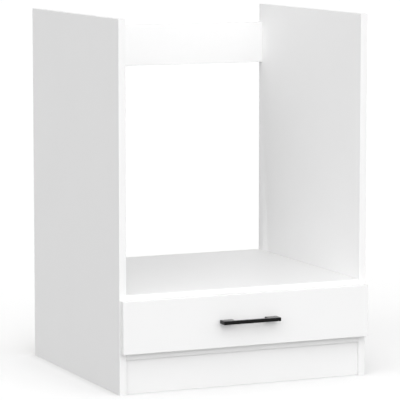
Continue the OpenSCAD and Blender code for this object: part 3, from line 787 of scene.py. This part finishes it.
def addRunners(look):
    sheet, bend = look["sheet"], look["bend"]
    low, high = nodeBox("cabinet_runner_left")
    rollerLow, rollerHigh = nodeBox("drawer_roller_left")
    back, floor, top = low[0] + sheet / 2, low[2] + sheet / 2, high[2] - sheet / 2
    fold = [(high[0], floor), (back, floor), (back, top)]
    full = foldedSection(fold + [(high[0] - look["guardShort"], top)], bend, sheet)
    short = foldedSection(fold + [(back + bend + look["stub"], top)], bend, sheet)
    start = low[1] + look["guardStart"]
    stations = np.array([low[1], start, start + look["guardRamp"], high[1]])
    reach = np.array([0.0, 0.0, 1.0, 1.0])[:, None, None]
    channel = carriedSection(short[None] * (1 - reach) + full[None] * reach, stations)
    tabTop, corner = low[2] + look["tabHeight"], look["tabCorner"]
    tabCorners = [(back, floor), (high[0], floor), (high[0], tabTop), (back, tabTop)]
    outline, outward = roundedOutline(tabCorners, [corner, corner, look["tabRadius"], corner])
    tab = easedSlab(outline, outward, high[1] - sheet, high[1], look["tabEase"], (0, 2, 1), steps=3)
    rollerY, rollerR = (rollerLow[1] + rollerHigh[1]) / 2, (rollerHigh[2] - rollerLow[2]) / 2
    stopReach = np.sqrt(rollerR ** 2 - (rollerR - look["stopHeight"]) ** 2)
    stopEnd = rollerY - look["travel"] - stopReach
    stopHalf = (look["rollerWidth"] / 2, look["stopLength"] / 2)
    stopMiddle = (low[0] + look["rollerInset"] + stopHalf[0], stopEnd - stopHalf[1])
    stop = bumpShell(stopMiddle, stopHalf, low[2] + sheet, look["stopHeight"], look["stopSunk"])
    cabinetParts = [channel, tab, stop]
    low, high = nodeBox("drawer_runner_left")
    web = high[0] - look["footWidth"] - sheet / 2
    foot, flange = low[2] + sheet / 2, high[2] - sheet / 2
    section = foldedSection([(high[0], foot), (web, foot), (web, flange), (low[0], flange)], bend, sheet)
    rail = carriedSection(np.stack([section, section]), [low[1], high[1]])
    for side, turn in (("left", lambda shell: shell), ("right", mirrored)):
        addPiece("cabinet_runner_" + side + "_steel", [turn(part) for part in cabinetParts],
                 "cabinet", "cabinet_runner_" + side, [coatedSteel])
        addPiece("drawer_runner_" + side + "_steel", [turn(rail)],
                 "drawer", "drawer_runner_" + side, [coatedSteel])


addRunners(runners)

# Rollers: a rim, a ring groove in each side, and a hub with a running bore
rollers = {
    "wall": 0.002,          # width of the rim
    "dish": 0.001,          # depth of the side grooves
    "bore": 0.00205,        # radius
    "round": 0.0006,        # radius of the rim's edges
    "hub": 0.0045,          # radius of the hub's outside
    "chamfer": 0.0003,      # at both ends of the bore
    "slope": 0.0002,        # how far each wall of the side grooves leans
    "columns": 64,          # points round the roller
    "steps": 5,             # points on each of the rim's edges
}


def rollerShell(low, high, look):
    # A closed profile of radius and width, swung once round the roller's own axis
    radius, width = (high[2] - low[2]) / 2, high[0] - low[0]
    rim, hub, bore, soft = radius - look["wall"], look["hub"], look["bore"], look["round"]
    chamfer, slope, dish = look["chamfer"], look["slope"], look["dish"]
    sweep = np.linspace(0, np.pi / 2, look["steps"])
    cornerOut = radius - soft * (1 - np.cos(sweep))
    cornerUp = soft * (1 - np.sin(sweep))
    flatRadius = [bore, bore + chamfer, hub, hub + slope, rim - slope, rim]
    halfRadius = np.concatenate([flatRadius, cornerOut[::-1]])
    halfLevel = np.concatenate([[chamfer, 0, 0, dish, dish, 0], cornerUp[::-1]])
    profileRadius = np.concatenate([halfRadius, halfRadius[::-1]])
    profileLevel = np.concatenate([halfLevel, width - halfLevel[::-1]])
    angle = np.linspace(0, 2 * np.pi, look["columns"], endpoint=False)[None, :]
    across = low[0] + profileLevel[:, None] + 0 * angle
    middleY, middleZ = (low[1] + high[1]) / 2, (low[2] + high[2]) / 2
    points = np.stack([across, middleY + profileRadius[:, None] * np.cos(angle),
                       middleZ + profileRadius[:, None] * np.sin(angle)], axis=-1)
    return points.reshape(-1, 3), gridFaces(*points.shape[:2], looped=True).tolist()


for node in ("cabinet_roller_left", "cabinet_roller_right", "drawer_roller_left", "drawer_roller_right"):
    addPiece(node + "_nylon", [rollerShell(*nodeBox(node), rollers)], node, node, [nylon])
print("runners and rollers are made")


# Screws, tacks, cam bolts, dowels and roller pins. Lengths and places come from the CAD solids.
# In each, local Z runs from the top of the head to the tip.
screws = {
    "small": {
        "head": 0.0035, "headHeight": 0.0020, "form": "domed",
        "shank": 0.00175, "pitch": 0.0014, "tip": 0.0028, "narrowed": 0.85,
    },
    "handle": {
        "head": 0.0040, "headHeight": 0.0025, "form": "domed",
        "shank": 0.0020, "pitch": 0.0007, "tip": 0.0, "narrowed": 0.2,
    },
    "flush": {
        "head": 0.0035, "headHeight": 0.00175, "form": "sunk",
        "shank": 0.00175, "pitch": 0.0014, "tip": 0.0028, "narrowed": 0.85,
    },
    "long": {
        "head": 0.0040, "headHeight": 0.0015, "form": "sunk",
        "shank": 0.0025, "pitch": 0.0022, "tip": 0.0040, "narrowed": 0.85,
    },
}
headForms = {
    # crown: how far the brim lies below the middle, as a share of the head's height
    # under: radius and level of the head's underside, as shares of its radius and height
    "domed": {"crown": 0.42, "under": [(1.0, 0.85), (0.95, 1.0)]},
    "sunk": {"crown": 0.0, "under": [(1.0, 0.08)]},
}
crossRecess = {
    "arm": 0.00042,                     # half the width of an arm
    "brim": 1.18,                       # the same at the head's face, in arms
    "widest": (0.66, 0.69),             # sines of the angles that both keep to near the middle
    "reach": 0.62,                      # share of the head's radius
    "depth": 0.0012,
    "armRings": [0.3, 1.35, 1.45],      # rings of points: their radii in arms,
    "reachRings": [0.9, 1.0, 1.05],     # in reaches,
    "headRings": [0.82, 0.94, 1.0],     # and in radii of the head
    "armDepths": [1, 0.95, 0.9, 0.5, 0.4, 0, 0, 0, 0],     # how deep each ring lies in an arm
    "landDepths": [1, 0.95, 0, 0, 0, 0, 0, 0, 0],          # and between the arms
}
thread = {
    "core": 0.76,        # share of the shank's radius
    "flank": 1.9,        # how steeply the ridge falls on both sides
    "neck": 0.0004,      # plain stretch under the head
    "perPitch": 5,       # rows of points to a pitch
    "fewest": 8,         # rows
}
turnStep = 0.7           # radians from one fastener to the next, so that their crosses differ


def threadRidge(level, angle, pitch, flank):
    # 1 where level over pitch less the angle in turns is half past a whole number, 0 away from it
    turned = (level / pitch - angle / (2 * np.pi)) % 1.0
    return np.clip(1 - np.abs(2 * turned - 1) * flank, 0, 1)


def crossColumns(radius, recess):
    # Angles of the columns at a radius: beside each arm's two edges, and on the land between
    arm, widest = recess["arm"], recess["widest"]
    edge = np.arcsin(np.clip(arm / radius, 0, widest[0]))
    brim = np.arcsin(np.clip(recess["brim"] * arm / radius, 0, widest[1]))
    land = np.full_like(radius, np.pi / 4)
    quarter = np.stack([-(brim + land) / 2, -brim, -edge, edge, brim, (brim + land) / 2, land], axis=1)
    turns = np.arange(4)[None, :, None] * np.pi / 2
    return (quarter[:, None, :] + turns).reshape(len(radius), -1)


def screwShell(look, recess, length):
    # The head is a surface of radius and angle whose height drops inside a cross; the shank's
    # radius is the core's plus a ridge that winds round it once in each pitch.
    head, headHeight, shank, pitch, tip = (look[k] for k in ("head", "headHeight", "shank", "pitch", "tip"))
    arm, reach, depth = recess["arm"], recess["reach"] * head, recess["depth"]
    form = headForms[look["form"]]
    rings = ((arm, "armRings"), (reach, "reachRings"), (head, "headRings"))
    radius = np.concatenate([unit * np.array(recess[name]) for unit, name in rings])
    armDepth, landDepth = (depth * np.array(recess[name])[:, None] for name in ("armDepths", "landDepths"))
    inArm = np.tile([0, 0, 1, 1, 0, 0, 0], 4)[None, :]     # of a quarter's columns, the arm's edges
    crown = form["crown"] * headHeight * (radius / head) ** 3
    headLevel = crown[:, None] + np.where(inArm == 1, armDepth, landDepth)
    under = np.array([head * share for share, _ in form["under"]] + [shank])
    underLevel = headHeight * np.array([share for _, share in form["under"]] + [1.0])
    start, core = headHeight + thread["neck"], thread["core"] * shank
    rows = max(int((length - tip - start) / (pitch / thread["perPitch"])), thread["fewest"])
    taper = np.linspace(0, 1, 5)[1:] if tip else np.ones(1)
    shaftLevel = np.linspace(start, length - tip, rows)
    level = np.concatenate([underLevel, shaftLevel, length - tip + tip * taper])
    body = np.concatenate([under, np.full(rows, core), core * (1 - look["narrowed"] * taper)])
    columns = crossColumns(np.concatenate([radius, np.full(len(level), head)]), recess)
    allLevel = np.concatenate([headLevel, level[:, None] + 0 * inArm])
    allRadius = np.concatenate([radius, body])[:, None] + 0 * columns
    ridge = threadRidge(allLevel, columns, pitch, thread["flank"])
    threaded = np.concatenate([np.zeros(len(radius) + len(under)), np.ones(rows), 1 - taper])
    allRadius = allRadius + ridge * (shank - core) * threaded[:, None]
    points = np.stack([allRadius * np.cos(columns), allRadius * np.sin(columns), allLevel], axis=-1)
    return cappedShell(points)


# Turned fasteners: pairs of radius and level, the level first from the top and then from the tip
turnedForms = {
    "tack": {            # a flat round head, a plain wire and a point
        "columns": 20,
        "fromTop": [
            (0.0004, 0.0), (0.0017, 0.0), (0.0020, 0.0002), (0.0020, 0.0006), (0.0018, 0.0008),
            (0.0008, 0.0008),
        ],
        "fromTip": [(0.0008, 0.003), (0.0001, 0.0)],
    },
    "bolt": {            # collar, neck, shank, shoulder and coarse thread
        "columns": 24,
        "fromTop": [
            (0.0031, 0.0), (0.0034, 0.0003), (0.0034, 0.0022), (0.0022, 0.0030), (0.0020, 0.0032),
        ],
        "fromTip": [
            (0.0020, 0.0122), (0.0030, 0.0120), (0.0030, 0.0110),
            *[(0.0018, level) for level in np.linspace(0.0108, 0.0012, 40)], (0.0010, 0.0),
        ],
        "thread": {"pitch": 0.0022, "rise": 0.0007, "flank": 1.8, "start": 0.011, "end": 0.001},
    },
    "dowel": {           # chamfered ends, and twelve shallow grooves along it
        "columns": 72,
        "fromTop": [(0.0030, 0.0), (0.0037, 0.0008), (0.0039, 0.0015)],
        "fromTip": [(0.0039, 0.0015), (0.0037, 0.0008), (0.0030, 0.0)],
        "flutes": {"count": 12, "raised": 0.0001, "depth": 0.00022},
    },
    "pin": {             # a low domed head, the bearing, a collar and the riveted end
        "columns": 32,
        "fromTop": [
            (0.0008, 0.0), (0.0022, 0.0001), (0.0033, 0.0004), (0.0035, 0.0008), (0.0020, 0.0008),
            (0.0020, 0.0071), (0.0035, 0.0071),
        ],
        "fromTip": [(0.0035, 0.0012), (0.0020, 0.0012), (0.0019, 0.0)],
    },
}


def turnedShell(look, length):
    # A turned form: each pair swings once round local Z. A thread adds a winding ridge to the
    # radius, and flutes take the positive part of cos(count * angle) from it.
    angle = np.linspace(0, 2 * np.pi, look["columns"], endpoint=False)[None, :]
    pairs = np.array(look["fromTop"] + look["fromTip"])
    radius = pairs[:, :1] + 0 * angle
    level = pairs[:, 1:] + 0 * angle
    top = len(look["fromTop"])
    level[top:] = length - level[top:]
    if "thread" in look:
        wound = look["thread"]
        inside = (level > length - wound["start"]) & (level < length - wound["end"])
        radius += wound["rise"] * threadRidge(level, angle, wound["pitch"], wound["flank"]) * inside
    if "flutes" in look:
        flutes = look["flutes"]
        radius += flutes["raised"] - flutes["depth"] * np.clip(np.cos(flutes["count"] * angle), 0, 1)
    return cappedShell(np.stack([radius * np.cos(angle), radius * np.sin(angle), level], axis=-1))


# node: body, kind, and which way the tip points on each axis
# (on X: 1 away from the cabinet's middle, -1 towards it)
fasteners = {
    "back_panel_tacks": ("cabinet", "tack", (0, -1, 0)),
    "plinth_bracket_screws": ("cabinet", "small", (0, -1, 1)),
    "cabinet_runner_screws": ("cabinet", "flush", (1, 0, 0)),
    "drawer_runner_screws": ("drawer", "small", (0, 0, 1)),
    "drawer_box_screws": ("drawer", "long", (-1, 0, 0)),
    "drawer_bottom_screws": ("drawer", "small", (0, 0, 1)),
    "handle_screws": ("drawer", "handle", (0, -1, 0)),
    "carcass_bolts": ("cabinet", "bolt", (1, 0, 0)),
    "front_bolts": ("drawer", "bolt", (0, -1, 0)),
    "carcass_dowels": ("cabinet", "dowel", (1, 0, 0)),
    "front_dowels": ("drawer", "dowel", (0, -1, 0)),
    "cabinet_roller_pins": ("cabinet", "pin", (1, 0, 0)),
    "drawer_roller_pins": ("drawer", "pin", (-1, 0, 0)),
}


def addFasteners(node, body, material, kind, ways):
    shells = []
    for count, (low, high) in enumerate(solidBoxes(node)):
        middle = (low + high) / 2
        axis = int(np.argmax(high - low))
        length = high[axis] - low[axis]
        sign = ways[axis] * (np.sign(middle[0]) if axis == 0 else 1)
        way = np.zeros(3)
        way[axis] = sign
        place = middle - way * length / 2
        if kind in turnedForms:
            shell = turnedShell(turnedForms[kind], length)
        else:
            shell = screwShell(screws[kind], crossRecess, length)
        shells.append(placedShell(shell, place, way, turnStep * count))
    addPiece(node + "_made", shells, body, node, [material])


for node, (body, kind, ways) in fasteners.items():
    slotName, material = "bright_steel", platedSteel
    if kind == "dowel":
        slotName, material = "beech", beechAcross if ways[0] else beechDeep
    addFasteners(node, body, material, kind, ways)
print("screws, bolts, dowels and pins are made")

# Angle brackets behind the plinth
brackets = {
    "sheet": 0.0020,
    "bend": 0.0022,
    "cornerRadius": 0.003,
    "straight": 0.0002,     # from each end to the next points along the strip
}


def bracketShell(low, high, look):
    # A folded strip: four corners at each station along it. Near both ends its half width
    # shrinks to half - r + sqrt(r^2 - (r - d)^2), where d is the way left to the end.
    sheet, bend, radius = look["sheet"], look["bend"], look["cornerRadius"]
    upright, level = low[1] + sheet / 2, high[2] - sheet / 2
    near = bend + look["straight"]     # corners here give the ends enough points to be rounded
    corners = [
        (upright, low[2]), (upright, low[2] + near), (upright, level),
        (high[1] - near, level), (high[1], level),
    ]
    section = foldedSection(corners, bend, sheet)
    count = len(section) // 2
    outer, inner = section[:count], section[count:][::-1]
    line = (outer + inner) / 2
    left = np.minimum(np.linalg.norm(line - line[0], axis=1), np.linalg.norm(line - line[-1], axis=1))
    short = np.clip(radius - left, 0, radius)
    half = (high[0] - low[0]) / 2 - radius + np.sqrt(radius ** 2 - short ** 2)
    points = np.zeros((count, 4, 3))
    points[..., 0] = (low[0] + high[0]) / 2 + half[:, None] * np.array([-1, 1, 1, -1])
    points[:, :2, 1:] = outer[:, None]
    points[:, 2:, 1:] = inner[:, None]
    return cappedShell(points)


def addBrackets(look):
    shells = [bracketShell(low, high, look) for low, high in solidBoxes("plinth_brackets")]
    addPiece("plinth_brackets_made", shells, "cabinet", "plinth_brackets", [bracketSteel])


addBrackets(brackets)
print("brackets are made")
